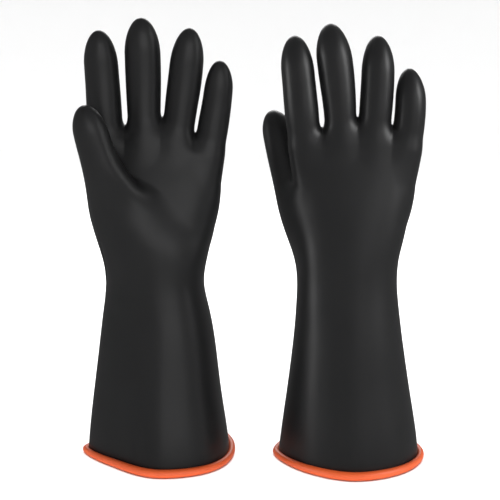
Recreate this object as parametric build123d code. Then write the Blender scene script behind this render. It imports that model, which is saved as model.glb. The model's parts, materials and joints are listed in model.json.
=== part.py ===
"""A pair of long rubber insulating gloves that stand on their rolled cuffs, fingers up.

Each glove is a black outer layer bonded over an orange inner layer, and the cuff edge is rolled
outwards into an orange bead. Both layers are divided at the creases where the rubber bends, so
that every segment can follow the hand: gauntlet, wrist band, hand, and a root and a tip segment
for each digit. Millimetres, +Z up, origin on the floor midway between the two cuffs.

A glove is built as a left-hand glove about its own cuff axis, with the palm facing -Y and the
thumb towards -X. The right-hand glove is the same shape mirrored front to back.
"""

from build123d import *

import os
from dataclasses import dataclass
from functools import lru_cache
from math import copysign, cos, pi, sin

# Rubber
OUTER_WALL = 1.0  # black outer layer
LINING_WALL = 0.6  # orange inner layer, bonded inside the outer one
CREASE_GAP = 0.3  # free play between two segments at a bending crease

# Cuff and gauntlet
CUFF_WIDTH = 118.0
CUFF_DEPTH = 112.0
BEAD_DIAMETER = 7.0  # the rolled edge
BEAD_STAND_OFF = 2.8  # middle of the roll outside the outer wall
BEAD_FOOT = 2.0  # rubber of the roll under the edge of the two layers
BEAD_SINK = 0.4  # how far the roll is flattened where it rests
GAUNTLET_LENGTH = 150.0  # rim to the narrowest part of the wrist
WRIST_WIDTH = 80.6
WRIST_DEPTH = 72.0
WRIST_BAND = 18.0  # between the forward and the backward bending crease

# Hand
PALM_LENGTH = 122.0  # narrowest part of the wrist to the web between the fingers
KNUCKLE_DEPTH = 35.0  # front to back across the knuckles
WEB_DEPTH = 20.0  # front to back at the web
KNUCKLE_OFFSET = 3.3  # middle of the row of fingers from the cuff axis
KNUCKLE_INSET = 2.4  # the hand's side inside the outer finger's side
TUBE_START = 34.0  # a finger's tube starts this far below its crease, inside the hand
TUBE_NARROWING = 0.62  # share of its width there

# Thumb
THUMB_RISE = 90.0  # crease of the thumb above the wrist
THUMB_FROM_EDGE = 7.0  # its middle inside the hand's edge
THUMB_CLEARANCE = 1.0  # free gap between the thumb and the palm
THUMB_FORWARD = 10.0  # degrees towards the palm side
MOUND_RISE = 22.0  # the mound under the thumb starts this far above the wrist
MOUND_INSET = 23.0  # its middle inside the hand's edge there
MOUND_FORWARD = 10.0  # its middle in front of the hand's middle
MOUND_WIDTH = 48.0

# Digits at rest
FINGER_FORWARD_ROOT = 3.0  # degrees towards the palm
FINGER_FORWARD_TIP = 9.0
THUMB_CURL_TIP = 3.0  # degrees towards the fingers

# Travel of the bending creases, in degrees
WRIST_FORWARD = 45.0
WRIST_BACK = 40.0
ROOT_CURL = 60.0  # a finger at its root crease
TIP_CURL = 75.0  # a finger at its middle crease
THUMB_SPREAD = 45.0
THUMB_CURL = 45.0

# The pair on the floor
GLOVE_SPACING = 160.0  # between the two cuff axes
RIGHT_GLOVE_FORWARD = 6.0  # the right glove stands this much nearer the front

SECTION_POINTS = 28
QUARTER_ROUND = 0.5523  # handle length that makes a cubic curve follow a quarter ellipse
SECTION_BELOW = 4.0  # walls are made this much too long below the rim, then trimmed
CUT_SIZE = 600.0


@dataclass(frozen=True)
class Digit:
    """One finger or thumb: widths across it, and lengths along it from its root crease."""

    name: str
    root_width: float
    joint_width: float
    tip_width: float  # where the rounded end starts
    root_length: float  # root crease to the middle crease
    tip_length: float  # middle crease to the end
    dome: float  # length of the rounded end
    lean: float  # degrees sideways, towards +X
    crease_rise: float = 0.0  # root crease above the web
    gap: float = 0.0  # to the next digit at the root


THUMB = Digit("thumb", 34.0, 30.0, 27.5, 26.0, 27.5, 20.0, -16.5)
FINGERS = (
    Digit("index", 27.3, 27.0, 26.2, 27.0, 38.0, 27.0, -4.2, 12.0, 3.8),
    Digit("middle", 26.6, 28.2, 27.4, 30.0, 41.0, 27.0, -3.9, 16.0, 2.6),
    Digit("ring", 26.4, 26.6, 25.8, 28.0, 36.5, 28.0, 3.4, 15.0, 1.8),
    Digit("little", 25.0, 23.8, 22.6, 18.0, 26.0, 23.0, 3.2, 9.0),
)


@dataclass(frozen=True)
class Glove:
    """Where a glove of the pair stands, and how its soft hand happens to sit."""

    name: str
    x: float
    y: float
    mirrored: bool
    palm_sway: float  # how far the knuckles lean over, towards +X
    thumb_sway: float  # how far the root of the thumb lies over, towards +X
    digit_bend: float  # degrees that all digits lean over, towards +X


GLOVES = (
    Glove("left", -GLOVE_SPACING / 2, RIGHT_GLOVE_FORWARD / 2, False, 1.3, 5.0, 3.4),
    Glove("right", GLOVE_SPACING / 2, -RIGHT_GLOVE_FORWARD / 2, True, -1.3, -5.0, -3.4),
)

# Share of the way up, of the change from cuff to wrist, and how square the section is.
GAUNTLET_PROFILE = ((0.34, 0.35, 2.0), (0.67, 0.70, 2.0), (0.87, 0.91, 2.0), (1.0, 1.0, 2.0))
# Share of the way up the palm, of the change in width, of the change in depth, and squareness.
HAND_PROFILE = (
    (0.18, 0.14, 0.12, 2.05),
    (0.37, 0.38, 0.34, 2.2),
    (0.57, 0.57, 0.62, 2.35),
    (0.76, 0.78, 0.88, 2.5),
    (0.89, 0.92, 1.0, 2.6),
)
WEB_SQUARENESS = 2.8


def row_width():
    """Width across the four fingers where they leave the hand."""
    return sum(f.root_width + f.gap for f in FINGERS)


def knuckle_width():
    """Width of the hand at the web."""
    return row_width() - 2 * KNUCKLE_INSET


def web_height():
    """Height of the web between the fingers."""
    return GAUNTLET_LENGTH + PALM_LENGTH


def between(low, high, share):
    """The value a share of the way from low to high."""
    return low + (high - low) * share


def body_stations(glove):
    """(height, middle x, half width, half depth, squareness) up the gauntlet and the hand."""
    stations = [(0.0, 0.0, CUFF_WIDTH / 2, CUFF_DEPTH / 2, 2.0)]
    for up, change, square in GAUNTLET_PROFILE:
        half_width = between(CUFF_WIDTH, WRIST_WIDTH, change) / 2
        half_depth = between(CUFF_DEPTH, WRIST_DEPTH, change) / 2
        stations.append((up * GAUNTLET_LENGTH, 0.0, half_width, half_depth, square))
    for up, wider, flatter, square in HAND_PROFILE:
        height = GAUNTLET_LENGTH + up * PALM_LENGTH
        middle = KNUCKLE_OFFSET * wider + glove.palm_sway * up**2
        half_width = between(WRIST_WIDTH, knuckle_width(), wider) / 2
        half_depth = between(WRIST_DEPTH, KNUCKLE_DEPTH, flatter) / 2
        stations.append((height, middle, half_width, half_depth, square))
    middle = KNUCKLE_OFFSET + glove.palm_sway
    stations.append((web_height(), middle, knuckle_width() / 2, WEB_DEPTH / 2, WEB_SQUARENESS))
    return stations


def body_at(glove, height):
    """(middle x, half width, half depth, squareness) at a height, between the stations."""
    stations = body_stations(glove)
    for low, high in zip(stations, stations[1:]):
        if height <= high[0]:
            break
    share = (height - low[0]) / (high[0] - low[0])
    return tuple(between(a, b, share) for a, b in zip(low[1:], high[1:]))


def section(height, middle, half_width, half_depth, square):
    """A closed superellipse outline at a height, as a face."""
    points = []
    for i in range(SECTION_POINTS):
        c, s = cos(2 * pi * i / SECTION_POINTS), sin(2 * pi * i / SECTION_POINTS)
        x = middle + half_width * copysign(abs(c) ** (2 / square), c)
        y = half_depth * copysign(abs(s) ** (2 / square), s)
        points.append((x, y, height))
    return Face(Wire([Edge.make_spline([Vector(*p) for p in points], periodic=True)]))


@lru_cache
def body(glove, inset):
    """The column of gauntlet, wrist and hand, its surface moved in by inset."""
    stations = body_stations(glove)
    _, middle, half_width, half_depth, square = stations[0]
    flare = SECTION_BELOW / GAUNTLET_LENGTH
    low = (
        -SECTION_BELOW,
        middle,
        half_width + flare * (CUFF_WIDTH - WRIST_WIDTH) / 2,
        half_depth + flare * (CUFF_DEPTH - WRIST_DEPTH) / 2,
        square,
    )
    faces = []
    for height, middle, half_width, half_depth, square in [low, *stations]:
        if height == stations[-1][0]:
            height -= inset
        faces.append(section(height, middle, half_width - inset, half_depth - inset, square))
    return loft(faces)


def turned(lean, forward):
    """Direction of an upright digit leant towards +X and tilted towards -Y, in degrees."""
    return Vector(0, 0, 1).rotate(Axis.X, forward).rotate(Axis.Y, lean)


@dataclass(frozen=True)
class Limb:
    """A digit in place: its creases, directions and hinges."""

    digit: Digit
    root: Vector
    joint: Vector
    along_root: Vector
    along_tip: Vector
    root_hinge: tuple  # (point, axis, degrees)
    joint_hinge: tuple

    def crease(self, offset=0.0):
        """Plane across the middle crease, moved along by offset."""
        normal = (self.along_root + self.along_tip).normalized()
        return Plane(origin=self.joint + normal * offset, z_dir=normal)


def flattened(direction, along):
    """The part of a direction that is square to along, as a unit vector."""
    return (direction - along * direction.dot(along)).normalized()


def finger(glove, digit, x):
    """A finger whose tube crosses the web at x. It hinges at the palm side of each crease."""
    lean = digit.lean + glove.digit_bend
    along_root = turned(lean, FINGER_FORWARD_ROOT)
    along_tip = turned(lean, FINGER_FORWARD_TIP)
    root = Vector(x + glove.palm_sway, 0, web_height() + digit.crease_rise)
    joint = root + along_root * digit.root_length
    palm = Vector(0, -1, 0)
    root_edge = root + flattened(palm, along_root) * (digit.root_width / 2)
    joint_edge = joint + flattened(palm, along_tip) * (digit.joint_width / 2)
    bend = Vector(1, 0, 0)
    return Limb(
        digit,
        root,
        joint,
        along_root,
        along_tip,
        (root_edge, bend, ROOT_CURL),
        (joint_edge, bend, TIP_CURL),
    )


def fingers(glove):
    """The four fingers side by side, each next to the last at its gap."""
    placed = []
    left = KNUCKLE_OFFSET - row_width() / 2
    for digit in FINGERS:
        placed.append(finger(glove, digit, left + digit.root_width / 2))
        left += digit.root_width + digit.gap
    return placed


def thumb(glove):
    """The thumb, in front of the palm. It spreads outwards and its tip curls inwards."""
    lean = THUMB.lean + glove.digit_bend
    along_root = turned(lean, THUMB_FORWARD)
    along_tip = turned(lean + THUMB_CURL_TIP, THUMB_FORWARD)
    height = GAUNTLET_LENGTH + THUMB_RISE
    middle, half_width, half_depth, square = body_at(glove, height)
    across = half_width - THUMB_FROM_EDGE - glove.thumb_sway
    nearest = across - THUMB.root_width / 4
    palm = half_depth * (1 - (nearest / half_width) ** square) ** (1 / square)
    root = Vector(middle - across, -palm - THUMB.root_width / 2 - THUMB_CLEARANCE, height)
    joint = root + along_root * THUMB.root_length
    spread = flattened(Vector(0, -1, 0), along_root)
    curl = flattened(Vector(0, 1, 0), along_tip)
    outer_edge = root + spread.cross(along_root) * (THUMB.root_width / 2)
    inner_edge = joint + curl.cross(along_tip) * (THUMB.joint_width / 2)
    return Limb(
        THUMB,
        root,
        joint,
        along_root,
        along_tip,
        (outer_edge, spread, THUMB_SPREAD),
        (inner_edge, curl, THUMB_CURL),
    )


def turned_about(base, along, edges):
    """A solid of revolution about a line from a closed profile in the XZ plane."""
    return Plane(origin=base, z_dir=along) * revolve(make_face(edges), Axis.Z)


def cone(base, along, *rings):
    """A solid round column through rings (station along the line, radius)."""
    points = [(0, 0, rings[0][0])]
    points += [(radius, 0, station) for station, radius in rings]
    points.append((0, 0, rings[-1][0]))
    return turned_about(base, along, Polyline(*points, close=True))


def kept(shape, plane):
    """The part of a shape on the side that the plane's normal points to."""
    block = Box(CUT_SIZE, CUT_SIZE, CUT_SIZE, align=(Align.CENTER, Align.CENTER, Align.MIN))
    return shape & (plane * block)


def level(height, up=1):
    """A horizontal plane that faces up or down."""
    return Plane(origin=(0, 0, height), z_dir=(0, 0, up))


def tube_start(limb, inset, past):
    """The start of a finger's tube, narrow inside the hand, up to past its root crease."""
    radius = limb.digit.root_width / 2
    return cone(
        limb.root,
        limb.along_root,
        (-TUBE_START, radius * TUBE_NARROWING - inset),
        (-limb.digit.crease_rise, radius - inset),
        (past, radius - inset),
    )


def mound(glove, limb, inset, past):
    """The swelling from the wrist to the thumb, up to past the thumb's crease."""
    height = GAUNTLET_LENGTH + MOUND_RISE
    middle, half_width, _, _ = body_at(glove, height)
    start = Vector(middle - half_width + MOUND_INSET, -MOUND_FORWARD, height)
    reach = limb.root - start
    radius = limb.digit.root_width / 2 - inset
    wide = MOUND_WIDTH / 2 - inset
    swelling = cone(start, reach.normalized(), (0, wide), (reach.length, radius))
    overlap = limb.digit.root_width / 2
    neck = cone(limb.root, limb.along_root, (-overlap, radius), (past, radius))
    crease = Plane(origin=limb.root + limb.along_root * past, z_dir=limb.along_root * -1)
    return kept(swelling, crease) + neck


def hand_form(glove, inset, past):
    """The hand with the starts of its digits, moved in by inset, open past each crease by past."""
    palm = kept(body(glove, inset), level(hand_bottom() - past))
    parts = [tube_start(limb, inset, past) for limb in fingers(glove)]
    parts.append(mound(glove, thumb(glove), inset, past))
    for part in parts:
        palm += part
    return palm


def hinges(glove):
    """Every hinge of a glove: name, parent, child, point, axis and travel."""
    depth = body_at(glove, band_bottom())[2]
    front = Vector(0, -depth, band_bottom())
    depth = body_at(glove, hand_bottom())[2]
    back = Vector(0, depth, hand_bottom())
    across = Vector(1, 0, 0)
    found = [
        ("wrist_forward", "gauntlet", "wrist_band", front, across, WRIST_FORWARD),
        ("wrist_back", "wrist_band", "hand", back, across * -1, WRIST_BACK),
    ]
    for limb in [thumb(glove), *fingers(glove)]:
        name = limb.digit.name
        found.append((f"{name}_root_bend", "hand", f"{name}_root", *limb.root_hinge))
        found.append((f"{name}_tip_bend", f"{name}_root", f"{name}_tip", *limb.joint_hinge))
    return found


def band_bottom():
    """Height of the crease where the wrist bends forwards."""
    return GAUNTLET_LENGTH - WRIST_BAND / 2


def hand_bottom():
    """Height of the crease where the wrist bends backwards."""
    return GAUNTLET_LENGTH + WRIST_BAND / 2


LAYERS = {"": (0.0, OUTER_WALL), "_lining": (OUTER_WALL, OUTER_WALL + LINING_WALL)}
HALF_GAP = CREASE_GAP / 2
OPEN_END = 1.0  # a hollow is cut this far past an open end


def ring_of_body(glove, outside, inside, low, high):
    """A layer of the body between two heights."""
    wall = body(glove, outside) - body(glove, inside)
    return kept(kept(wall, level(low)), level(high, -1))


def hand_layer(glove, outside, inside):
    """A layer of the hand, open at the wrist and at the root of each digit."""
    wall = hand_form(glove, outside, -HALF_GAP) - hand_form(glove, inside, OPEN_END)
    return kept(wall, level(hand_bottom() + HALF_GAP))


def root_segment(limb, outside, inside):
    """A layer of a digit from its root crease to its middle crease."""
    digit = limb.digit
    slope = (digit.joint_width - digit.root_width) / 2 / digit.root_length
    low, high = HALF_GAP, digit.root_length + digit.joint_width / 4

    def radius(station):
        return digit.root_width / 2 + slope * station

    profile = Polyline(
        (radius(low) - inside, 0, low),
        (radius(low) - outside, 0, low),
        (radius(high) - outside, 0, high),
        (radius(high) - inside, 0, high),
        close=True,
    )
    crease = limb.crease(-HALF_GAP)
    tube = turned_about(limb.root, limb.along_root, profile)
    return kept(tube, Plane(origin=crease.origin, z_dir=crease.z_dir * -1))


def tip_segment(limb, outside, inside):
    """A layer of a digit from its middle crease to its closed, rounded end."""
    digit = limb.digit
    low, shoulder = -digit.joint_width / 4, digit.tip_length - digit.dome
    slope = (digit.tip_width - digit.joint_width) / 2 / shoulder

    def radius(station):
        return digit.joint_width / 2 + slope * station

    def rounded(inset):
        wide, high = radius(shoulder) - inset, digit.dome - inset
        return Bezier(
            (wide, 0, shoulder),
            (wide, 0, shoulder + QUARTER_ROUND * high),
            (QUARTER_ROUND * wide, 0, shoulder + high),
            (0, 0, shoulder + high),
        )

    outer, inner = rounded(outside), rounded(inside)
    wall = [
        Line(((radius(low) - outside), 0, low), outer @ 0),
        outer,
        Line(outer @ 1, inner @ 1),
        inner,
        Line(inner @ 0, (radius(low) - inside, 0, low)),
        Line((radius(low) - inside, 0, low), (radius(low) - outside, 0, low)),
    ]
    return kept(turned_about(limb.joint, limb.along_tip, wall), limb.crease(HALF_GAP))


def cuff_bead(glove):
    """The rolled edge: a round roll outside the wall, with a foot under both layers."""
    roll_height = BEAD_DIAMETER / 2 - BEAD_SINK
    half_width = CUFF_WIDTH / 2 + BEAD_STAND_OFF
    half_depth = CUFF_DEPTH / 2 + BEAD_STAND_OFF
    path = Edge.make_ellipse(half_width, half_depth, plane=level(roll_height))
    profile = Plane(origin=path @ 0, z_dir=path % 0) * Circle(BEAD_DIAMETER / 2)
    roll = sweep(profile, path)
    foot = extrude(level(0) * Ellipse(half_width, half_depth), BEAD_FOOT)
    walls = kept(body(glove, 0), level(BEAD_FOOT))
    hollow = body(glove, OUTER_WALL + LINING_WALL)
    return kept(roll + foot, level(0)) - walls - hollow


def segments(glove):
    """Every piece of one glove by name, about its own cuff axis."""
    digits = [thumb(glove), *fingers(glove)]
    pieces = {"cuff_bead": cuff_bead(glove)}
    for layer, (outside, inside) in LAYERS.items():
        pieces["gauntlet" + layer] = ring_of_body(
            glove, outside, inside, BEAD_FOOT, band_bottom() - HALF_GAP
        )
        pieces["wrist_band" + layer] = ring_of_body(
            glove, outside, inside, band_bottom() + HALF_GAP, hand_bottom() - HALF_GAP
        )
        pieces["hand" + layer] = hand_layer(glove, outside, inside)
        for limb in digits:
            name = limb.digit.name
            pieces[f"{name}_root{layer}"] = root_segment(limb, outside, inside)
            pieces[f"{name}_tip{layer}"] = tip_segment(limb, outside, inside)
    return pieces


def placed(glove, shape):
    """A piece of a glove, mirrored if need be, where the glove stands."""
    if glove.mirrored:
        shape = shape.mirror(Plane.XZ)
    return Pos(glove.x, glove.y, 0) * shape


def hinge_placed(glove, point, axis):
    """A hinge's point and axis where the glove stands. Mirroring turns the axis the other way."""
    if glove.mirrored:
        point = Vector(point.X, -point.Y, point.Z)
        axis = Vector(-axis.X, axis.Y, -axis.Z)
    return Vector(glove.x, glove.y, 0) + point, axis


def main():
    """Writes one STEP file per piece, and prints the hinges in millimetres and degrees."""
    os.makedirs("parts", exist_ok=True)
    for glove in GLOVES:
        for name, _, _, point, axis, travel in hinges(glove):
            point, axis = hinge_placed(glove, point, axis)
            print(f"{glove.name}_{name}: about {axis} at {point}, 0 to {travel:.0f} degrees")
        for name, shape in segments(glove).items():
            label = f"{glove.name}_{name}"
            solids = placed(glove, shape).solids()
            if len(solids) != 1:
                raise ValueError(f"{label} came out as {len(solids)} solids")
            export_step(solids[0], f"parts/{label}.step")


if __name__ == "__main__":
    main()
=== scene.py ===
import json
import logging
from dataclasses import dataclass, field
from enum import Enum
from math import cos, pi, radians, sin
from typing import Any, Callable, Sequence

import bpy
import numpy as np
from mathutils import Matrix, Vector


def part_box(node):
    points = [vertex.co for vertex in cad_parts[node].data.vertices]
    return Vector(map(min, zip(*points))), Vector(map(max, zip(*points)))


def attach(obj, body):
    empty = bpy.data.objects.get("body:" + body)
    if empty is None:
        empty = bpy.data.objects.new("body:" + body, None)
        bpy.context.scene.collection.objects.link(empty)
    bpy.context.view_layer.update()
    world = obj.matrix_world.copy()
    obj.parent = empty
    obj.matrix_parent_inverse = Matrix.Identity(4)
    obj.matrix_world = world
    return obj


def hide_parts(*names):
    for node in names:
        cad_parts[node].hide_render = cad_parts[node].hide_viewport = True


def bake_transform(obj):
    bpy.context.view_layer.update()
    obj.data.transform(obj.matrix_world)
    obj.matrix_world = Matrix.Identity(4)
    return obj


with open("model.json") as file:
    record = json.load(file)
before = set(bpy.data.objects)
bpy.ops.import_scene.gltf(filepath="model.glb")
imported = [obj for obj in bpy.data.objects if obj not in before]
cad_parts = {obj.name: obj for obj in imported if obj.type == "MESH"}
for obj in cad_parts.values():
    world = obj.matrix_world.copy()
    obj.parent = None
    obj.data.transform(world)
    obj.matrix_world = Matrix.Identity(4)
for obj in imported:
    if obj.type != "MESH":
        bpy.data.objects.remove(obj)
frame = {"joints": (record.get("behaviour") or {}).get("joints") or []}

# A pair of long dipped rubber gloves, black outside and orange inside, with a rolled cuff.
#
# Each glove is worked out in its own space: millimetres, the cuff's axis at x = y = 0, the floor
# at z = 0, the palm towards -y and the thumb towards -x. A right-hand glove is mirrored in y when
# its points are turned into the frame's metres.

log = logging.getLogger("gloves")
MM = 0.001
Points = np.ndarray


class Side(Enum):
    """Which hand a glove is for. The value starts the names of its bodies and nodes."""

    LEFT = "left"
    RIGHT = "right"


class Digit(Enum):
    """The digits, by the name that their bodies and nodes use."""

    THUMB = "thumb"
    INDEX = "index"
    MIDDLE = "middle"
    RING = "ring"
    LITTLE = "little"


class Layer(Enum):
    """The two bonded layers of rubber. The value ends the names of their nodes."""

    OUTER = ""
    LINING = "_lining"


# ---------------------------------------------------------------- smooth curves and fields


@dataclass(frozen=True)
class Curve:
    """A natural cubic spline of a height: knots and the value at each."""

    knots: tuple[float, ...]
    values: tuple[float, ...]

    def bends(self) -> np.ndarray:
        """Second derivatives at the knots, zero at both ends, from the usual three-term rows."""
        x, y = np.array(self.knots), np.array(self.values)
        step = np.diff(x)
        rows = np.eye(len(x))
        right = np.zeros(len(x))
        inner = np.arange(1, len(x) - 1)
        rows[inner, inner - 1] = step[:-1]
        rows[inner, inner] = 2 * (step[:-1] + step[1:])
        rows[inner, inner + 1] = step[1:]
        slope = np.diff(y) / step
        right[inner] = 6 * np.diff(slope)
        return np.linalg.solve(rows, right)

    def __call__(self, height: np.ndarray) -> np.ndarray:
        """The spline's value, held at its end values outside the knots.

        Args:
            height: Where to read it.

        Returns:
            Values of the same shape.
        """
        x, y, bend = np.array(self.knots), np.array(self.values), self.bends()
        at = np.clip(height, x[0], x[-1])
        span = np.clip(np.searchsorted(x, at, side="right") - 1, 0, len(x) - 2)
        step = np.diff(x)[span]
        b = (at - x[span]) / step
        a = 1 - b
        lift = ((a**3 - a) * bend[span] + (b**3 - b) * bend[span + 1]) * step**2 / 6
        return a * y[span] + b * y[span + 1] + lift


def blended(a: np.ndarray, b: np.ndarray, width: float | np.ndarray) -> np.ndarray:
    """Smooth union of two distances: their minimum, rounded over a band of the given width.

    With h the share of b, it is mix(b, a, h) - width * h * (1 - h).

    Args:
        a: Distances to one form.
        b: Distances to the other.
        width: Width of the rounding, in millimetres.

    Returns:
        Distances to the joined form.
    """
    share = np.clip(0.5 + 0.5 * (b - a) / width, 0, 1)
    return b + (a - b) * share - width * share * (1 - share)


def ramp(value: np.ndarray, low: float, high: float) -> np.ndarray:
    """0 below low, 1 above high and a smooth step between."""
    share = np.clip((value - low) / (high - low), 0, 1)
    return share * share * (3 - 2 * share)


@dataclass(frozen=True)
class Column:
    """An upright form with a superellipse section at each height, a rounded top and a foot.

    Its middle, half width and half depth are curves of the height z. With s the superellipse sum
    |u|^n + |y'/depth|^n, the surface is where q = sqrt(s^(2/n) + (rise/dome)^2) is 1. The rise is
    the height above the shoulder, or the depth below the foot. Then (q - 1) / |gradient of q| is
    nearly the distance to it. The place across is u = t - crest * (1 - t^2), with t = x'/width,
    so the fullest line stands off the middle by about the crest's share of the half width. Near
    the middle u is then softened to sqrt(u^2 + softness^2 * (1 - u^2)), so that a power under 2
    leaves no ridge. The power n changes smoothly from the low side to the high one, over the
    crossover's stretch of t.
    """

    middle: Curve
    forward: Curve
    width: Curve
    depth: Curve
    square_low: Curve
    square_high: Curve
    shoulder: Curve | float
    dome: float
    foot: float = -1000.0
    crest: Curve | None = None
    softness: float = 0.10
    crossover: tuple[float, float] = (-0.6, 0.8)

    def distance(self, p: Points) -> np.ndarray:
        """Nearly the distance of each point to the surface, negative inside.

        Args:
            p: Points, as rows of x, y, z in millimetres.

        Returns:
            One distance for each row.
        """
        x, y, z = p[..., 0], p[..., 1], p[..., 2]
        wide, deep = self.width(z), self.depth(z)
        t = (x - self.middle(z)) / wide
        side = ramp(t, *self.crossover)
        n = self.square_low(z) * (1 - side) + self.square_high(z) * side
        top = self.shoulder(x) if isinstance(self.shoulder, Curve) else self.shoulder
        shift = self.crest(z) if self.crest else 0.0
        u = t - shift * (1 - np.minimum(t * t, 1.0))
        stretch = np.where(np.abs(t) < 1, 1 + 2 * shift * t, 1.0)
        u = np.sqrt(u * u + self.softness**2 * (1 - np.minimum(u * u, 1)))
        v = np.abs(y - self.forward(z)) / deep + 1e-6
        w = np.maximum(np.maximum(z - top, self.foot - z), 0) / self.dome + 1e-9
        around = u**n + v**n
        q = np.sqrt(around ** (2 / n) + w * w)
        flat = np.maximum(around, 1e-12)
        pull = flat ** (2 / n - 1)
        gx = pull * u ** (n - 1) * stretch / wide / q
        gy = pull * v ** (n - 1) / deep / q
        gz = w / self.dome / q
        return (q - 1) / np.sqrt(gx * gx + gy * gy + gz * gz + 1e-12)


# ---------------------------------------------------------------- the shape of one glove

ROUND = Curve((0.0, 1.0), (2.0, 2.0))
STRAIGHT = Curve((0.0, 1.0), (0.0, 0.0))
BODY_HEIGHTS = (-10, 16, 50, 84, 118, 135, 151, 168, 186, 210, 236, 258, 290)
HALF_DEPTHS = (59.2, 57.0, 51.4, 45.8, 40.4, 37.8, 36.0, 34.4, 31.6, 27.0, 20.4, 14.8, 11.5)


@dataclass(frozen=True)
class DigitShape:
    """A digit by heights: its middle, how far forward it is, and its half width and half depth."""

    digit: Digit
    heights: tuple[float, ...]
    middle: tuple[float, ...]
    forward: tuple[float, ...]
    width: tuple[float, ...]
    depth: tuple[float, ...]
    tip: float
    dome: float
    reach: float = 4.0

    def column(self) -> Column:
        """The digit's form, rounded over the dome's length below its tip."""
        return Column(
            Curve(self.heights, self.middle),
            Curve(self.heights, self.forward),
            Curve(self.heights, self.width),
            Curve(self.heights, self.depth),
            ROUND,
            ROUND,
            self.tip - self.dome,
            self.dome,
            self.heights[0],
            softness=0.0,
        )

    def along(self, height: float) -> np.ndarray:
        """Unit direction of the middle line at a height, pointing to the tip.

        Args:
            height: Where to read it, in millimetres.

        Returns:
            A unit vector in the glove's space.
        """
        ends = np.array([height - self.reach, height + self.reach])
        middle, forward = Curve(self.heights, self.middle), Curve(self.heights, self.forward)
        line = np.stack((middle(ends), forward(ends), ends), axis=-1)
        return (line[1] - line[0]) / np.linalg.norm(line[1] - line[0])


@dataclass(frozen=True)
class HandShape:
    """Everything that sets the form of one glove."""

    side: Side
    thumb_edge: tuple[float, ...]
    little_edge: tuple[float, ...]
    thumb_square: tuple[float, ...]
    little_square: tuple[float, ...]
    web_places: tuple[float, ...]
    web_heights: tuple[float, ...]
    digits: tuple[DigitShape, ...]
    crest_heights: tuple[float, ...]
    crest: tuple[float, ...]
    web_dome: float = 15.0
    palm_blend: float = 11.0
    finger_blend: float = 1.4
    thumb_blend: float = 15.0
    thumb_free: float = 1.2
    thumb_web: tuple[float, float] = (222.0, 243.0)
    ripple: float = 0.18

    def body(self) -> Column:
        """The gauntlet, wrist and hand as one column."""
        left, right = np.array(self.thumb_edge), np.array(self.little_edge)
        web = tuple(height - self.web_dome for height in self.web_heights)
        return Column(
            Curve(BODY_HEIGHTS, tuple((left + right) / 2)),
            STRAIGHT,
            Curve(BODY_HEIGHTS, tuple((right - left) / 2)),
            Curve(BODY_HEIGHTS, HALF_DEPTHS),
            Curve(BODY_HEIGHTS, self.thumb_square),
            Curve(BODY_HEIGHTS, self.little_square),
            Curve(self.web_places, web),
            self.web_dome,
            crest=Curve(self.crest_heights, self.crest),
        )

    def ripples(self, p: Points) -> np.ndarray:
        """Slow unevenness of dipped rubber: a sum of three long crossed waves.

        Args:
            p: Points in millimetres.

        Returns:
            How far the surface stands out at each point, in millimetres.
        """
        x, y, z = p[..., 0], p[..., 1], p[..., 2]
        shift = 1.7 if self.side is Side.RIGHT else 0.0
        waves = np.sin(z / 17.0 + 1.3 * np.sin(x / 23.0 + shift))
        waves += np.sin(z / 31.0 - x / 19.0 + shift) * np.cos(y / 21.0)
        waves += 0.6 * np.sin(x / 11.0 + y / 13.0 + z / 41.0 + shift)
        return self.ripple * waves

    def distance(self, p: Points) -> np.ndarray:
        """Distance to the whole outer surface: the parts' distances, blended in turn.

        The fingers are joined over a narrow band and then to the hand over a wide one. The
        thumb's mound runs into the hand over a wide band that closes up above the web of the
        thumb, so that the thumb itself stands free.

        Args:
            p: Points in millimetres.

        Returns:
            One distance for each point, negative inside.
        """
        z = p[..., 2]
        fingers = None
        thumb = None
        for shape in self.digits:
            near = shape.column().distance(p)
            if shape.digit is Digit.THUMB:
                thumb = near
            elif fingers is None:
                fingers = near
            else:
                fingers = blended(fingers, near, self.finger_blend)
        hand = blended(self.body().distance(p), fingers, self.palm_blend)
        freed = ramp(z, *self.thumb_web)
        width = self.thumb_blend + (self.thumb_free - self.thumb_blend) * freed
        return blended(hand, thumb, width) - self.ripples(p)


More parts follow.
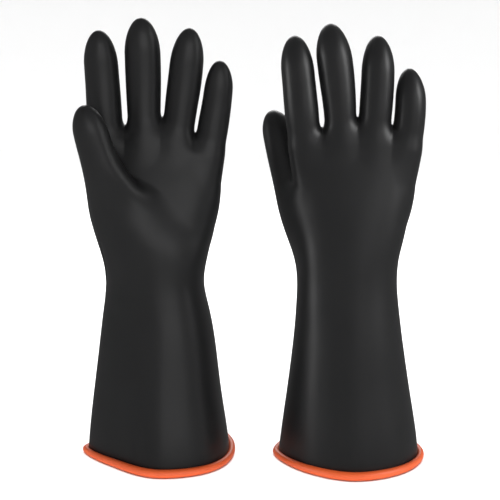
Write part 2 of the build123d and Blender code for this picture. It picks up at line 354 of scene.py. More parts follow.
LEFT_SHAPE = HandShape(
    side=Side.LEFT,
    thumb_edge=(
        -60.6, -58.2, -54.1, -49.8, -45.1, -42.3, -40.4,
        -41.2, -43.2, -45.4, -46.6, -48.0, -49.0,
    ),
    little_edge=(
        61.4, 58.8, 54.4, 50.2, 44.9, 41.2, 38.9,
        42.2, 47.5, 51.2, 52.6, 53.6, 55.0,
    ),
    thumb_square=(1.36, 1.40, 1.52, 1.66, 1.80, 1.86, 1.9, 2.05, 2.1, 2.2, 2.35, 2.5, 2.5),
    little_square=(2.1, 2.1, 2.05, 2.0, 1.95, 1.95, 1.95, 2.05, 2.1, 2.2, 2.35, 2.5, 2.5),
    crest_heights=(0.0, 60.0, 120.0, 155.0, 200.0),
    crest=(0.13, 0.16, 0.20, 0.20, 0.0),
    web_places=(-60.0, -23.0, 6.0, 32.0, 60.0),
    web_heights=(272.0, 274.4, 277.2, 267.4, 264.0),
    digits=(
        DigitShape(
            digit=Digit.THUMB,
            heights=(140, 160, 181, 205, 222, 238, 252, 266, 291),
            middle=(0.0, 0.0, -6.2, -19.8, -28.2, -35.0, -39.9, -43.8, -48.3),
            forward=(-6.0, -7.0, -8.0, -12.0, -19.5, -29.5, -34.5, -38.0, -42.0),
            width=(30.0, 34.0, 37.4, 31.6, 24.6, 18.2, 15.2, 14.0, 13.1),
            depth=(22.0, 25.0, 28.5, 25.5, 21.5, 17.6, 15.4, 14.3, 13.2),
            tip=292.9,
            dome=23.0,
        ),
        DigitShape(
            digit=Digit.INDEX,
            heights=(236, 262, 285, 305, 325, 350),
            middle=(-36.6, -38.0, -39.5, -40.2, -41.0, -41.5),
            forward=(0.0, 0.0, 0.0, -0.8, -2.6, -7.5),
            width=(9.0, 12.6, 14.2, 14.1, 13.7, 12.9),
            depth=(8.0, 12.2, 13.9, 13.8, 13.4, 12.6),
            tip=350.6,
            dome=27.0,
        ),
        DigitShape(
            digit=Digit.MIDDLE,
            heights=(236, 262, 285, 310, 335, 360),
            middle=(-7.4, -7.6, -7.9, -8.0, -8.0, -7.8),
            forward=(0.0, 0.0, 0.0, -1.0, -3.6, -8.0),
            width=(8.0, 12.0, 13.5, 14.4, 14.3, 13.6),
            depth=(8.0, 12.6, 14.1, 14.2, 14.0, 13.2),
            tip=360.2,
            dome=28.0,
        ),
        DigitShape(
            digit=Digit.RING,
            heights=(236, 262, 285, 305, 325, 352),
            middle=(16.4, 19.0, 21.6, 24.5, 27.1, 29.8),
            forward=(0.0, 0.0, 0.0, -0.8, -2.6, -7.2),
            width=(8.0, 11.8, 13.1, 13.6, 13.3, 12.6),
            depth=(8.0, 12.4, 13.8, 13.6, 13.2, 12.4),
            tip=352.6,
            dome=28.0,
        ),
        DigitShape(
            digit=Digit.LITTLE,
            heights=(228, 252, 275, 295, 310, 326),
            middle=(43.0, 44.9, 48.1, 51.3, 53.0, 53.6),
            forward=(0.0, 0.0, 0.0, -0.6, -2.4, -5.2),
            width=(8.0, 11.6, 12.8, 12.0, 11.3, 10.8),
            depth=(8.0, 11.4, 12.6, 12.2, 11.4, 10.8),
            tip=326.8,
            dome=24.0,
        ),
    ),
)


RIGHT_SHAPE = HandShape(
    side=Side.RIGHT,
    thumb_edge=(
        -59.8, -56.8, -52.3, -48.2, -44.5, -43.4, -43.0,
        -43.4, -44.4, -45.6, -46.2, -47.6, -49.0,
    ),
    little_edge=(
        60.6, 57.8, 51.8, 46.4, 41.4, 39.3, 38.2,
        39.8, 43.9, 47.6, 49.8, 51.6, 53.0,
    ),
    thumb_square=(1.56, 1.60, 1.70, 1.82, 1.92, 2.0, 2.0, 2.05, 2.1, 2.2, 2.35, 2.5, 2.5),
    little_square=(1.80, 1.82, 1.88, 1.94, 2.0, 2.0, 2.0, 2.05, 2.1, 2.2, 2.35, 2.5, 2.5),
    crest_heights=(0.0, 200.0),
    crest=(0.0, 0.0),
    web_places=(-60.0, -23.5, 4.6, 31.5, 60.0),
    web_heights=(270.0, 272.4, 276.4, 273.0, 266.0),
    digits=(
        DigitShape(
            digit=Digit.THUMB,
            heights=(140, 160, 181, 205, 222, 238, 252, 266, 287),
            middle=(0.0, -3.0, -12.4, -27.4, -37.0, -46.8, -52.4, -56.4, -62.2),
            forward=(-12.0, -13.0, -13.5, -15.0, -19.5, -27.0, -32.0, -36.0, -40.0),
            width=(30.0, 36.0, 37.7, 31.4, 25.2, 18.7, 16.1, 14.9, 13.5),
            depth=(14.0, 18.0, 21.5, 22.0, 20.5, 17.6, 15.4, 14.3, 13.2),
            tip=287.2,
            dome=23.0,
        ),
        DigitShape(
            digit=Digit.INDEX,
            heights=(236, 262, 285, 305, 325, 347),
            middle=(-36.4, -38.2, -40.5, -42.7, -44.8, -46.4),
            forward=(0.0, 0.0, 0.0, -0.8, -2.6, -7.5),
            width=(9.0, 12.5, 13.8, 13.5, 13.1, 12.7),
            depth=(8.0, 12.2, 13.9, 13.6, 13.2, 12.4),
            tip=346.9,
            dome=28.0,
        ),
        DigitShape(
            digit=Digit.MIDDLE,
            heights=(236, 262, 285, 310, 335, 355),
            middle=(-8.6, -9.2, -10.0, -12.4, -15.4, -17.6),
            forward=(0.0, 0.0, 0.0, -1.0, -3.6, -8.0),
            width=(8.0, 12.0, 13.2, 14.1, 14.0, 13.4),
            depth=(8.0, 12.6, 14.1, 14.2, 14.0, 13.2),
            tip=356.2,
            dome=29.0,
        ),
        DigitShape(
            digit=Digit.RING,
            heights=(236, 262, 285, 305, 325, 346),
            middle=(15.8, 17.2, 18.4, 19.6, 20.1, 19.9),
            forward=(0.0, 0.0, 0.0, -0.8, -2.6, -7.2),
            width=(8.0, 12.0, 13.4, 13.5, 13.1, 12.8),
            depth=(8.0, 12.4, 14.0, 13.6, 13.2, 12.6),
            tip=347.0,
            dome=29.0,
        ),
        DigitShape(
            digit=Digit.LITTLE,
            heights=(228, 252, 275, 295, 308, 320),
            middle=(41.0, 43.1, 45.2, 46.2, 45.9, 45.4),
            forward=(0.0, 0.0, 0.0, -0.6, -2.4, -5.2),
            width=(8.0, 11.2, 12.3, 12.2, 11.7, 11.2),
            depth=(8.0, 11.4, 12.6, 12.4, 11.6, 11.0),
            tip=321.2,
            dome=24.0,
        ),
    ),
)


# ---------------------------------------------------------------- surface of a field


@dataclass
class Surface:
    """Points in millimetres, four-cornered faces, and the outward direction at each point."""

    points: Points
    faces: np.ndarray
    normals: Points


@dataclass(frozen=True)
class Skin:
    """Finds the surface where a distance is zero, as a net of evenly spaced squares."""

    distance: Callable[[Points], np.ndarray]
    low: tuple[float, float, float]
    high: tuple[float, float, float]
    step: float = 1.8
    coarse: int = 3
    rounds: int = 3
    reach: float = 0.35
    nearby: float = 1.9

    def slope(self, p: Points) -> Points:
        """Gradient of the distance, from its values at the corners of a small tetrahedron.

        Args:
            p: Points in millimetres.

        Returns:
            One gradient for each point.
        """
        corners = np.array([[1, -1, -1], [-1, -1, 1], [-1, 1, -1], [1, 1, 1]], float)
        total = np.zeros_like(p)
        for corner in corners:
            total += corner * self.distance(p + corner * self.reach)[:, None]
        return total / (4 * self.reach)

    def grid(self) -> tuple[np.ndarray, list[np.ndarray]]:
        """The distance on a grid of points, worked out in full only near the surface.

        A coarse grid is worked out first. Fine points keep the coarse value where that is more
        than nearly two coarse steps, which is past a coarse cell's diagonal.

        Returns:
            Distances on the fine grid, and the grid's places along each axis.
        """
        wide = self.step * self.coarse
        counts = [int(np.ceil((h - l) / wide)) for l, h in zip(self.low, self.high)]
        rough = [l + wide * (np.arange(n) + 0.5) for l, n in zip(self.low, counts)]
        rough_points = np.stack(np.meshgrid(*rough, indexing="ij"), axis=-1)
        values = self.distance(rough_points.reshape(-1, 3)).reshape(counts)
        fine = [l + self.step * (np.arange(n * self.coarse) + 0.5) for l, n in zip(self.low, counts)]
        for axis in range(3):
            values = np.repeat(values, self.coarse, axis=axis)
        near = np.abs(values) < wide * self.nearby
        i, j, k = np.nonzero(near)
        values[near] = self.distance(np.stack((fine[0][i], fine[1][j], fine[2][k]), axis=-1))
        return values, fine

    def net(self) -> tuple[Points, np.ndarray]:
        """One point in each cell that the surface crosses, and a face across each crossed edge.

        Returns:
            Points at the crossed cells' middles, and faces as rows of four indices.
        """
        values, places = self.grid()
        inside = values < 0
        cells = [n - 1 for n in values.shape]
        count = np.zeros(cells, int)
        for di, dj, dk in np.ndindex(2, 2, 2):
            count += inside[di : di + cells[0], dj : dj + cells[1], dk : dk + cells[2]]
        crossed = (count > 0) & (count < 8)
        index = np.full(cells, -1)
        index[crossed] = np.arange(crossed.sum())
        corner = np.stack([p[c] for p, c in zip(places, np.nonzero(crossed))], axis=-1)
        points = corner + self.step / 2
        faces = []
        for axis in range(3):
            turned = (axis, (axis + 1) % 3, (axis + 2) % 3)
            side, at = np.transpose(inside, turned), np.transpose(index, turned)
            here = side[:-1, 1:-1, 1:-1]
            there = side[1:, 1:-1, 1:-1]
            a, b, c = at[:, :-1, :-1], at[:, 1:, :-1], at[:, 1:, 1:]
            d = at[:, :-1, 1:]
            quads = np.stack((a, b, c, d), axis=-1)
            leaving = here & ~there
            entering = ~here & there
            faces += [quads[leaving], quads[entering][:, ::-1]]
        return points, np.concatenate(faces)

    def settled(self, points: Points, times: int = 2) -> Points:
        """Points moved along the gradient onto the surface: p - f * g / |g|^2."""
        for _ in range(times):
            g = self.slope(points)
            f = self.distance(points)
            move = f[:, None] * g / np.maximum((g * g).sum(axis=1), 0.05)[:, None]
            points = points - np.clip(move, -self.step, self.step)
        return points

    def evened(self, points: Points, faces: np.ndarray) -> Points:
        """Points moved to the mean of their neighbours along the faces' sides."""
        total = np.zeros_like(points)
        number = np.zeros(len(points))
        for a, b in ((0, 1), (1, 2), (2, 3), (3, 0)):
            for one, other in ((a, b), (b, a)):
                for axis in range(3):
                    total[:, axis] += np.bincount(
                        faces[:, one], points[faces[:, other], axis], len(points)
                    )
                number += np.bincount(faces[:, one], minlength=len(points))
        return total / np.maximum(number, 1)[:, None]

    def surface(self) -> Surface:
        """The net, evened and settled onto the surface a few times, with its normals."""
        points, faces = self.net()
        points = self.settled(points)
        for _ in range(self.rounds):
            points = self.settled(self.evened(points, faces), times=1)
        normals = self.slope(points)
        normals /= np.linalg.norm(normals, axis=1)[:, None]
        return Surface(points, faces, normals)


# ---------------------------------------------------------------- from the glove to the frame


@dataclass(frozen=True)
class Place:
    """Where a glove stands: turns its own millimetres into the frame's metres, and back."""

    x: float
    y: float
    mirrored: bool

    def flip(self) -> Points:
        """The factor on each axis, with y turned over for the glove of the right hand."""
        return np.array([1.0, -1.0 if self.mirrored else 1.0, 1.0])

    def to_frame(self, p: Points) -> Points:
        """Points of the glove's own space, in the frame."""
        return (p * self.flip() + np.array([self.x, self.y, 0.0])) * MM

    def to_glove(self, p: Sequence[float]) -> Points:
        """A point of the frame, in the glove's own space."""
        return (np.array(p, float) / MM - np.array([self.x, self.y, 0.0])) * self.flip()


@dataclass
class Sheet:
    """Points, four-cornered faces and a normal for each face corner, all in the glove's space."""

    points: Points
    faces: np.ndarray
    normals: Points
    rest: Points


def open_sides(faces: np.ndarray, count: int) -> np.ndarray:
    """The sides of faces that no other face shares, as rows of two indices.

    Args:
        faces: Faces as rows of four indices.
        count: How many points there are.

    Returns:
        The open sides, each in the direction of its face.
    """
    ends = np.stack((faces, np.roll(faces, -1, axis=1)), axis=-1).reshape(-1, 2)
    sides = ends.astype(np.int64)
    forth = sides[:, 0] * count + sides[:, 1]
    back = sides[:, 1] * count + sides[:, 0]
    return sides[~np.isin(forth, back)]


@dataclass(frozen=True)
class Wall:
    """The wall of one layer: how deep its outer and inner faces lie under the glove's surface."""

    outer: float
    inner: float

    def over(self, surface: Surface, chosen: np.ndarray) -> Sheet:
        """A closed shell over some faces of the surface.

        Each point is copied to p - n * outer and p - n * inner. The inner faces are turned round,
        and each open side a-b of the outer faces gets a wall b, a, a', b'.

        Args:
            surface: The glove's surface.
            chosen: Which faces the shell covers, as a mask.

        Returns:
            The closed shell.
        """
        used, index = np.unique(surface.faces[chosen], return_inverse=True)
        faces = index.reshape(-1, 4)
        count = len(used)
        points, normals = surface.points[used], surface.normals[used]
        a, b = open_sides(faces, count).T
        rim = np.stack((b, a, a + count, b + count), axis=-1)
        both = np.concatenate((points - normals * self.outer, points - normals * self.inner))
        across = np.cross(both[rim[:, 1]] - both[rim[:, 0]], both[rim[:, 3]] - both[rim[:, 0]])
        across /= np.maximum(np.linalg.norm(across, axis=1), 1e-9)[:, None]
        inner = faces[:, ::-1]
        corners = np.concatenate(
            (normals[faces], -normals[inner], np.repeat(across[:, None, :], 4, axis=1))
        )
        quads = np.concatenate((faces, inner + count, rim))
        return Sheet(both, quads, corners, np.concatenate((points, points)))


def new_piece(name: str, sheet: Sheet, place: Place, look: "Rubber") -> bpy.types.Object:
    """Makes an object from a sheet, with its normals and its rest place for the finish.

    Args:
        name: The piece's name.
        sheet: Its points, faces and normals, in the glove's space.
        place: Where the glove stands.
        look: The finish.

    Returns:
        The new object, at the origin.
    """
    faces, normals = sheet.faces, sheet.normals * place.flip()
    if place.mirrored:
        faces, normals = faces[:, ::-1], normals[:, ::-1]
    mesh = bpy.data.meshes.new(name)
    mesh.vertices.add(len(sheet.points))
    mesh.vertices.foreach_set("co", place.to_frame(sheet.points).astype(np.float32).ravel())
    mesh.loops.add(faces.size)
    mesh.loops.foreach_set("vertex_index", faces.astype(np.int32).ravel())
    mesh.polygons.add(len(faces))
    mesh.polygons.foreach_set("loop_start", np.arange(0, faces.size, 4, dtype=np.int32))
    mesh.polygons.foreach_set("use_smooth", np.ones(len(faces), bool))
    mesh.update(calc_edges=True)
    mesh.normals_split_custom_set(normals.reshape(-1, 3))
    rest = mesh.attributes.new(REST, "FLOAT_VECTOR", "POINT")
    shifted = sheet.rest * MM + np.array([NOISE_SHIFT if place.mirrored else 0.0, 0.0, 0.0])
    rest.data.foreach_set("vector", shifted.astype(np.float32).ravel())
    piece = bpy.data.objects.new(name, mesh)
    bpy.context.scene.collection.objects.link(piece)
    mesh.materials.append(look.material())
    return piece


# ---------------------------------------------------------------- finishes

REST = "rest_place"
NOISE_SHIFT = 0.4  # metres, so that the two gloves have clouds of their own


class Paint:
    """A material's nodes, made one at a time."""

    def __init__(self, name: str) -> None:
        """Starts an empty material of this name, with its output."""
        self.material = bpy.data.materials.new(name)
        self.material.use_nodes = True
        self.tree = self.material.node_tree
        self.tree.nodes.clear()

    def node(
        self, kind: str, settings: dict[str, Any] | None = None, **sockets: Any
    ) -> bpy.types.Node:
        """Adds a node, with its settings first and then its sockets' values or links.

        Args:
            kind: The node's type, without "ShaderNode".
            settings: Properties of the node.
            sockets: Values, Field objects or sockets, by input name with "_" for a space.

        Returns:
            The new node.
        """
        made = self.tree.nodes.new("ShaderNode" + kind)
        for key, value in (settings or {}).items():
            setattr(made, key, value)
        for key, value in sockets.items():
            numbered = key[1:].isdigit()
            slot = made.inputs[int(key[1:]) if numbered else key.replace("_", " ")]
            value = value.socket if isinstance(value, Field) else value
            if isinstance(value, bpy.types.NodeSocket):
                self.tree.links.new(value, slot)
            else:
                slot.default_value = value
        return made


@dataclass(frozen=True)
class Field:
    """A number that changes over a surface. Arithmetic on it adds Math nodes."""

    paint: Paint
    socket: bpy.types.NodeSocket

    def maths(self, operation: str, a: Any, b: Any) -> "Field":
        """The result of a Math node on two values."""
        made = self.paint.node("Math", {"operation": operation}, _0=a, _1=b)
        return Field(self.paint, made.outputs[0])

    def __add__(self, other: Any) -> "Field":
        """self + other."""
        return self.maths("ADD", self, other)

    def __sub__(self, other: Any) -> "Field":
        """self - other."""
        return self.maths("SUBTRACT", self, other)

    def __rsub__(self, other: Any) -> "Field":
        """other - self."""
        return self.maths("SUBTRACT", other, self)

    def __mul__(self, other: Any) -> "Field":
        """self * other."""
        return self.maths("MULTIPLY", self, other)

    __radd__ = __add__
    __rmul__ = __mul__


@dataclass(frozen=True)
class Rubber:
    """Dipped rubber: its colour and gloss with slow clouds, faint runs down it and a fine grain."""

    name: str
    slot: str
    colour: tuple[float, float, float]
    clouded: tuple[float, float, float]
    roughness: float
    gloss_change: float
    grain: float
    unevenness: float
    specular: float = 0.5
    cloud_size: float = 0.030
    run_size: float = 0.012
    run_length: float = 0.120
    grain_size: float = 0.0012

    def noise(self, paint: Paint, place: bpy.types.NodeSocket, size: float, detail: float) -> Field:
        """Smooth noise of about this feature size, in metres, from 0 to 1."""
        made = paint.node("TexNoise", None, Vector=place, Scale=1 / size, Detail=detail)
        return Field(paint, made.outputs[0])

    def material(self) -> bpy.types.Material:
        """The material, made once for each name.

        Returns:
            A Principled material on the piece's rest place.
        """
        made = bpy.data.materials.get(self.name)
        if made:
            return made
        paint = Paint(self.name)
        place = paint.node("Attribute", {"attribute_name": REST}).outputs["Vector"]
        cloud = self.noise(paint, place, self.cloud_size, 3.0)
        stretch = (1 / self.run_size, 1 / self.run_size, 1 / self.run_length)
        long_place = paint.node("Mapping", None, Vector=place, Scale=stretch).outputs[0]
        runs = self.noise(paint, long_place, 1.0, 2.0)
        grain = self.noise(paint, place, self.grain_size, 2.0)
        tint = paint.node(
            "Mix",
            {"data_type": "RGBA"},
            Factor=cloud * 0.7 + runs * 0.3,
            _6=(*self.colour, 1.0),
            _7=(*self.clouded, 1.0),
        ).outputs[2]
        gloss = (cloud - 0.5) * self.gloss_change + (runs - 0.5) * (self.gloss_change * 0.6)
        gloss = gloss + (grain - 0.5) * (self.gloss_change * 0.5) + self.roughness
        height = grain * self.grain + runs * self.unevenness + cloud * (self.unevenness * 2)
        bump = paint.node("Bump", None, Strength=1.0, Distance=1.0, Height=height).outputs[0]
        shader = paint.node(
            "BsdfPrincipled",
            None,
            Base_Color=tint,
            Roughness=gloss,
            Normal=bump,
            Specular_IOR_Level=self.specular,
        )
        paint.node("OutputMaterial", None, Surface=shader.outputs[0])
        return paint.material


BLACK = Rubber(
    name="black_rubber",
    slot="outer_rubber",
    colour=(0.0108, 0.0108, 0.0114),
    clouded=(0.0136, 0.0136, 0.0142),
    roughness=0.39,
    gloss_change=0.10,
    grain=0.000012,
    unevenness=0.00006,
)
ORANGE = Rubber(
    name="orange_rubber",
    slot="inner_rubber",
    colour=(0.90, 0.125, 0.028),
    clouded=(0.94, 0.150, 0.038),
    roughness=0.42,
    gloss_change=0.10,
    grain=0.000012,
    unevenness=0.00004,
)

# ---------------------------------------------------------------- the gloves


@dataclass(frozen=True)
class Bend:
    """A crease: the two bodies, and the stretch over which the rubber turns between them."""

    low: str
    high: str
    start: Points
    end: Points


@dataclass(frozen=True)
class Length:
    """A length of rubber between creases, the nodes that it replaces and how it bends."""

    name: str
    nodes: tuple[str, ...]
    bend: Bend


@dataclass(frozen=True)
class CuffBead:
    """The rolled bead of orange rubber around the mouth."""

    radius: float = 3.45
    stand_off: float = 2.75
    rim: float = 1.8
    thinning: float = 0.2
    stays: float = 0.1
    wrap: float = 142.0
    seat: float = 0.02
    wall: float = 1.62
    inset: float = 0.4
    rounding: float = 1.0
    settlings: int = 14
    turns: int = 288
    corners: int = 28

    def profile(self) -> tuple[np.ndarray, np.ndarray]:
        """The bead's outline as distances out from the glove's surface, and heights.

        It is a circle from under the wall, round the outside and up to the wall, then down the
        wall to its edge, under the edge and down the inside with a small round.

        Returns:
            Distances and heights, in order.
        """
        angle = np.linspace(-pi / 2, radians(self.wrap), self.corners)
        out = self.stand_off + self.radius * np.cos(angle)
        up = self.radius + self.radius * np.sin(angle)
        inward = -self.inset * np.arange(1, 4)
        groove = np.concatenate((np.full(4, self.seat), inward, np.full(2, -self.wall)))
        rise = up[-1]
        drop = np.array([rise, rise * 0.75 + self.rim * 0.25, (rise + self.rim) / 2, self.rim])
        heights = np.concatenate((drop, np.full(4, self.rim - self.seat), [self.rounding]))
        bend = np.linspace(0, pi / 2, 5)
        inner_out = self.rounding * (1 - np.cos(bend)) - self.wall
        inner_up = self.rounding * (1 - np.sin(bend))
        under = np.linspace(-self.inset, self.stand_off - self.inset, 6)
        out = np.concatenate((out, groove, inner_out[1:], under))
        up = np.concatenate((up, heights, inner_up[1:], np.zeros(6)))
        return out, up

    def sheet(self, skin: Skin, shape: HandShape) -> Sheet:
        """The profile carried round the mouth.

        The path is the gauntlet's own section just above the floor, and the profile stands out
        along the section's normals: path + normal * out, at the profile's height. The bead thins
        towards the two ends of the mouth by the cube of the cosine of the turn.

        Args:
            skin: The glove's surface, for the path.
            shape: The glove's sizes, for the start of the path.

        Returns:
            The closed ring.
        """
        turn = np.linspace(0, 2 * pi, self.turns, endpoint=False)
        body = shape.body()
        low = np.array([self.radius])
        path = np.stack(
            (
                body.middle(low) + body.width(low) * np.cos(turn),
                body.depth(low) * np.sin(turn),
                np.full(self.turns, self.radius),
            ),
            axis=-1,
        )
        for _ in range(self.settlings):
            path = skin.settled(path, 1)
            path[:, 2] = self.radius
        normal = skin.slope(path) * np.array([1.0, 1.0, 0.0])
        normal /= np.linalg.norm(normal, axis=1)[:, None]
        out, up = self.profile()
        thin = 1 - self.thinning * np.abs(np.cos(turn)[:, None]) ** 3
        out = np.where(out > self.stays, out * thin, out)
        points = path[:, None, :] + normal[:, None, :] * out[..., None]
        points[..., 2] = up * thin
        along, round_it = self.turns, len(up)
        corner = np.arange(along * round_it).reshape(along, round_it)
        ahead = np.roll(corner, -1, axis=0)
        faces = np.stack(
            (corner, ahead, np.roll(ahead, -1, axis=1), np.roll(corner, -1, axis=1)), axis=-1
        ).reshape(-1, 4)
        flat = points.reshape(-1, 3)
        step = np.roll(points, -1, axis=1) - np.roll(points, 1, axis=1)
        forward = np.roll(points, -1, axis=0) - np.roll(points, 1, axis=0)
        facing = np.cross(forward, step)
        facing /= np.maximum(np.linalg.norm(facing, axis=-1), 1e-9)[..., None]
        return Sheet(flat, faces, facing.reshape(-1, 3)[faces], flat)


@dataclass
class Glove:
    """One glove: finds its surface, parts it at the creases and dresses each piece."""

    shape: HandShape
    joints: list[dict[str, Any]]
    outer: Wall = field(default_factory=lambda: Wall(0.0, 1.0))
    lining: Wall = field(default_factory=lambda: Wall(1.04, 1.6))
    bead: CuffBead = field(default_factory=CuffBead)
    wrist: float = 150.0
    wrist_low: tuple[float, float] = (126.0, 149.0)
    wrist_high: tuple[float, float] = (151.0, 174.0)
    edge: float = 1.8
    digits_above: float = 225.0
    overlap: float = 1.3
    clearance: float = 0.3
    shortest_bend: float = 10.0
    web_search: tuple[float, float] = (-20.0, 14.0)
    grid_step: float = 1.6
    pieces: list[bpy.types.Object] = field(default_factory=list)

    @property
    def side(self) -> str:
        """The start of the glove's body and node names."""
        return self.shape.side.value

    def place(self) -> Place:
        """Where the glove stands, from its cuff bead in the CAD."""
        low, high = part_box(f"{self.side}_cuff_bead")
        middle = (low + high) / 2 / MM
        return Place(middle.x, middle.y, self.shape.side is Side.RIGHT)

    def hinge(self, name: str) -> Points:
        """A joint's place in the glove's space.

        Args:
            name: The joint's name, without the glove's side.

        Returns:
            A point in millimetres.
        """
        joint = next(j for j in self.joints if j["name"] == f"{self.side}_{name}")
        return self.place().to_glove(joint["pos_m"])

    def skin(self) -> Skin:
        """The glove's surface, over a box a little larger than the glove."""
        return Skin(self.shape.distance, (-86.0, -66.0, -4.0), (76.0, 66.0, 368.0), self.grid_step)

    def edged(self, surface: Surface, keep: np.ndarray) -> None:
        """Moves the lowest open side of the kept faces level with the mouth's edge."""
        rim = np.unique(open_sides(surface.faces[keep], len(surface.points)))
        surface.points[rim, 2] = self.edge

    def owners(self, p: Points) -> np.ndarray:
        """Which digit each point is nearest to. The thumb has only what is nearer to it than to
        the fingers and the hand.

        Args:
            p: Points on the surface.

        Returns:
            Indices in the shape's digits.
        """
        near = np.array([shape.column().distance(p) for shape in self.shape.digits])
        names = [shape.digit for shape in self.shape.digits]
        thumb = names.index(Digit.THUMB)
        others = near.copy()
        others[thumb] = np.inf
        owner = np.argmin(others, axis=0)
        hand = np.minimum(others.min(axis=0), self.shape.body().distance(p))
        return np.where(near[thumb] < hand, thumb, owner)

    def build(self) -> list[bpy.types.Object]:
        """Makes and dresses all the glove's pieces.

        Returns:
            The pieces.
        """
        skin = self.skin()
        surface = skin.surface()
        middles = surface.points[surface.faces].mean(axis=1)
        above = middles[:, 2] > self.edge
        self.edged(surface, above)
        part, lengths = self.parted(surface, middles)
        for number, length in enumerate(lengths):
            chosen = above & (part == number)
            for layer, wall, look in self.layers():
                self.dress(length, layer, wall.over(surface, chosen), look)
        sheet = self.bead.sheet(skin, self.shape)
        bead = new_piece(f"{self.side}_rolled_bead", sheet, self.place(), ORANGE)
        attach(bead, f"{self.side}_gauntlet")
        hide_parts(f"{self.side}_cuff_bead")
        self.pieces.append(bead)
        return self.pieces

    def layers(self) -> tuple[tuple[Layer, Wall, Rubber], ...]:
        """The two layers, each with its wall and its finish."""
        return (Layer.OUTER, self.outer, BLACK), (Layer.LINING, self.lining, ORANGE)

    def dress(self, length: Length, layer: Layer, sheet: Sheet, look: Rubber) -> None:
        """Makes one piece of rubber and hides the nodes that it replaces."""
        place, bend = self.place(), length.bend
        piece = new_piece(f"{self.side}_{length.name}{layer.value}_rubber", sheet, place, look)
        start, end = place.to_frame(bend.start), place.to_frame(bend.end)
        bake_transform(piece)
        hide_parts(*[f"{self.side}_{node}{layer.value}" for node in length.nodes])
        self.pieces.append(piece)

    def parted(self, surface: Surface, middles: Points) -> tuple[np.ndarray, list[Length]]:
        """Parts the surface into lengths of rubber: gauntlet, hand, and each digit's root and tip.

        Args:
            surface: The glove's surface.
            middles: The middle of each face.

        Returns:
            Which length each face is in, and the lengths.
        """
        owner = self.owners(middles)
        part = np.where(middles[:, 2] < self.wrist, 0, 1)
        low = self.level_bend("gauntlet", "wrist_band", self.wrist_low)
        high = self.level_bend("wrist_band", "hand", self.wrist_high)
        lengths = [Length("gauntlet", ("gauntlet", "wrist_band"), low)]
        lengths.append(Length("hand", ("hand",), high))
        for number, shape in enumerate(self.shape.digits):
            root_name, tip_name = f"{shape.digit.value}_root", f"{shape.digit.value}_tip"
            mine = (owner == number) & (middles[:, 2] > self.digits_above)
            root, tip = self.hinge(f"{root_name}_bend"), self.hinge(f"{tip_name}_bend")
            up_root, up_tip = shape.along(root[2] + shape.reach), shape.along(tip[2])
            t_root, t_tip = (middles - root) @ up_root, (middles - tip) @ up_tip
            root_start, root_end, tip_start, tip_end = self.spread(shape)
            lowest, highest = self.web_search
            shared = self.shared(surface, mine & (t_root > lowest))
            web = (surface.points[shared] - root) @ up_root
            web = web[web < highest].max(initial=lowest)
            first = max(root_start, web + self.clearance)
            last = max(root_end, first + self.shortest_bend)
            log.info("%s %s starts %.1f, web %.1f", self.side, root_name, first, web)
            part[mine & (t_root > first - self.overlap)] = len(lengths)
            part[mine & (t_tip > tip_start - self.overlap)] = len(lengths) + 1
            low = self.bend("hand", root_name, root, up_root, first, last)
            high = self.bend(root_name, tip_name, tip, up_tip, tip_start, tip_end)
            lengths += [Length(root_name, (root_name,), low), Length(tip_name, (tip_name,), high)]
        return part, lengths

    def shared(self, surface: Surface, mine: np.ndarray) -> np.ndarray:
        """Points that a digit's faces share with other faces."""
        return np.intersect1d(surface.faces[mine], surface.faces[~mine])

    def spread(self, shape: DigitShape) -> tuple[float, float, float, float]:
        """Where the root and tip bends start and end, along the digit from each hinge."""
        if shape.digit is Digit.THUMB:
            return (0.0, 16.0, -8.0, 8.0)
        if shape.digit is Digit.LITTLE:
            return (-6.0, 6.0, -5.5, 7.0)
        return (-6.5, 8.0, -8.0, 8.0)

    def level_bend(self, low: str, high: str, heights: tuple[float, float]) -> Bend:
        """A bend between two heights, straight up the glove."""
        start, end = np.array([0, 0, heights[0]]), np.array([0, 0, heights[1]])
        return Bend(f"{self.side}_{low}", f"{self.side}_{high}", start, end)

    def bend(
        self, low: str, high: str, hinge: Points, along: Points, first: float, last: float
    ) -> Bend:
        """A bend along a digit, from and to these distances past its hinge."""
        low_body, high_body = f"{self.side}_{low}", f"{self.side}_{high}"
        return Bend(low_body, high_body, hinge + along * first, hinge + along * last)


# ---------------------------------------------------------------- the studio


@dataclass(frozen=True)
class Softbox:
    """A rectangular studio light: where it stands, its size in metres and its power.

    It stands at a distance from its aim, which is on the gloves' axis at the aim's height. The
    compass is the turn from the front towards +x, and the rise is the angle above level. Where
    it names a group in lights, it lights nothing else.
    """

    name: str
    compass: float
    rise: float
    distance: float
    aim: float
    size: tuple[float, float]
    power: float
    lights: str | None = None

    def place(self) -> Vector:
        """Where the light stands, from its compass, rise and distance."""
        turn, up = radians(self.compass), radians(self.rise)
        away = Vector((sin(turn) * cos(up), -cos(turn) * cos(up), sin(up)))
        return away * self.distance + Vector((0.0, 0.0, self.aim))

    def build(self, groups: dict[str, bpy.types.Collection]) -> bpy.types.Object:
        """Adds the light.

        Args:
            groups: Collections of what a light may be kept to, by name.

        Returns:
            The light's object.
        """
        data = bpy.data.lights.new(self.name, "AREA")
        data.shape = "RECTANGLE"
        data.size, data.size_y = self.size
        data.energy = self.power
        lamp = bpy.data.objects.new(self.name, data)
        lamp.location = self.place()
        turn = (Vector((0.0, 0.0, self.aim)) - self.place()).to_track_quat("-Z", "Y")
        lamp.rotation_mode = "QUATERNION"
        lamp.rotation_quaternion = turn
        bpy.context.scene.collection.objects.link(lamp)
        if self.lights:
            lamp.light_linking.receiver_collection = groups[self.lights]
        return lamp


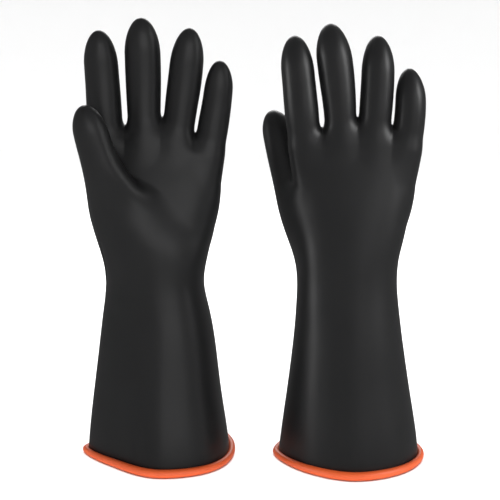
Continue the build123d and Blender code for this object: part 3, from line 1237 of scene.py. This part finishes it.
@dataclass(frozen=True)
class Studio:
    """The pale floor, the white surround, the lights and the camera."""

    floor_radius: float = 6.0
    white: float = 0.86
    world: float = 0.17
    softboxes: tuple[Softbox, ...] = (
        Softbox("palm_front", 14, 12, 2.0, 0.19, (2.0, 1.2), 7.0, "left"),
        Softbox("palm_side", 85, 15, 2.0, 0.19, (0.9, 1.4), 4.5, "left"),
        Softbox("back_front", 30, 20, 2.0, 0.19, (0.7, 1.2), 2.0, "right"),
        Softbox("back_high", 68, 26, 2.0, 0.19, (0.7, 1.1), 15.0, "right"),
        Softbox("back_side", -82, 5, 2.0, 0.19, (0.7, 1.2), 12.0, "right"),
        Softbox("back", 180, 35, 2.44, 0.20, (1.6, 1.2), 30.0),
        Softbox("over_floor", 0, 90, 3.4, 0.0, (4.0, 4.0), 265.0, "floor"),
    )
    camera_place: tuple[float, float, float] = (-0.0022, -0.8393, 0.3084)
    camera_aim: tuple[float, float, float] = (-0.0022, 0.0, 0.174)
    lens: float = 74.5

    def floor(self) -> bpy.types.Object:
        """A round floor that turns up into a wall far off: height grows as the square of the
        distance past half the radius, from 0.

        Returns:
            The floor's object.
        """
        turn = np.linspace(0, 2 * pi, 97)[:-1]
        far = np.linspace(0, 1, 49)[1:] ** 1.5 * self.floor_radius
        r, a = np.meshgrid(far, turn, indexing="ij")
        rise = np.maximum(r - self.floor_radius * 0.5, 0) ** 2 * 0.5
        points = np.stack((r * np.cos(a), r * np.sin(a), rise), axis=-1).reshape(-1, 3)
        points = np.concatenate((points, [[0.0, 0.0, 0.0]]))
        corner = np.arange(len(far) * len(turn)).reshape(len(far), len(turn))
        ahead = np.roll(corner, -1, axis=1)
        faces = np.stack((corner[:-1], corner[1:], ahead[1:], ahead[:-1]), axis=-1).reshape(-1, 4)
        middle = np.stack((corner[0], ahead[0], np.full(len(turn), len(points) - 1)), axis=-1)
        mesh = bpy.data.meshes.new("floor")
        mesh.from_pydata(points.tolist(), [], faces.tolist() + middle.tolist())
        mesh.polygons.foreach_set("use_smooth", np.ones(len(mesh.polygons), bool))
        made = bpy.data.objects.new("floor", mesh)
        bpy.context.scene.collection.objects.link(made)
        paint = Paint("floor_white")
        shade = (self.white, self.white, self.white, 1.0)
        shader = paint.node("BsdfDiffuse", None, Color=shade)
        paint.node("OutputMaterial", None, Surface=shader.outputs[0])
        mesh.materials.append(paint.material)
        made.visible_glossy = False
        return made

    def surround(self) -> None:
        """An even white world of low strength."""
        world = bpy.data.worlds.new("studio_white")
        bpy.context.scene.world = world
        world.use_nodes = True
        back = world.node_tree.nodes["Background"]
        back.inputs["Color"].default_value = (1.0, 1.0, 1.0, 1.0)
        back.inputs["Strength"].default_value = self.world

    def camera(self) -> bpy.types.Object:
        """The camera, in front and a little above, looking slightly down.

        Returns:
            The camera's object, which is now the scene's.
        """
        data = bpy.data.cameras.new("camera")
        data.lens = self.lens
        made = bpy.data.objects.new("camera", data)
        made.location = self.camera_place
        made.rotation_mode = "QUATERNION"
        look = Vector(self.camera_aim) - Vector(self.camera_place)
        made.rotation_quaternion = look.to_track_quat("-Z", "Y")
        bpy.context.scene.collection.objects.link(made)
        bpy.context.scene.camera = made
        return made

    def build(self, gloves: Sequence[Glove]) -> None:
        """Sets up the studio round the gloves.

        Args:
            gloves: The gloves, each of which has lights of its own.
        """
        groups = {}
        floor = self.floor()
        for name, objects in [(g.side, g.pieces) for g in gloves] + [("floor", [floor])]:
            groups[name] = bpy.data.collections.new(f"lit_{name}")
            for thing in objects:
                groups[name].objects.link(thing)
        for softbox in self.softboxes:
            softbox.build(groups)
        self.surround()
        self.camera()
        bpy.context.scene.view_settings.view_transform = "Standard"


def main() -> None:
    """Builds both gloves and the studio, and reports each piece."""
    logging.basicConfig(level=logging.INFO, format="%(message)s")
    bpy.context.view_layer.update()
    gloves = [Glove(LEFT_SHAPE, frame["joints"]), Glove(RIGHT_SHAPE, frame["joints"])]
    for glove in gloves:
        for piece in glove.build():
            log.info("%s: %d faces", piece.name, len(piece.data.polygons))
    Studio().build(gloves)


if __name__ == "__main__":
    main()
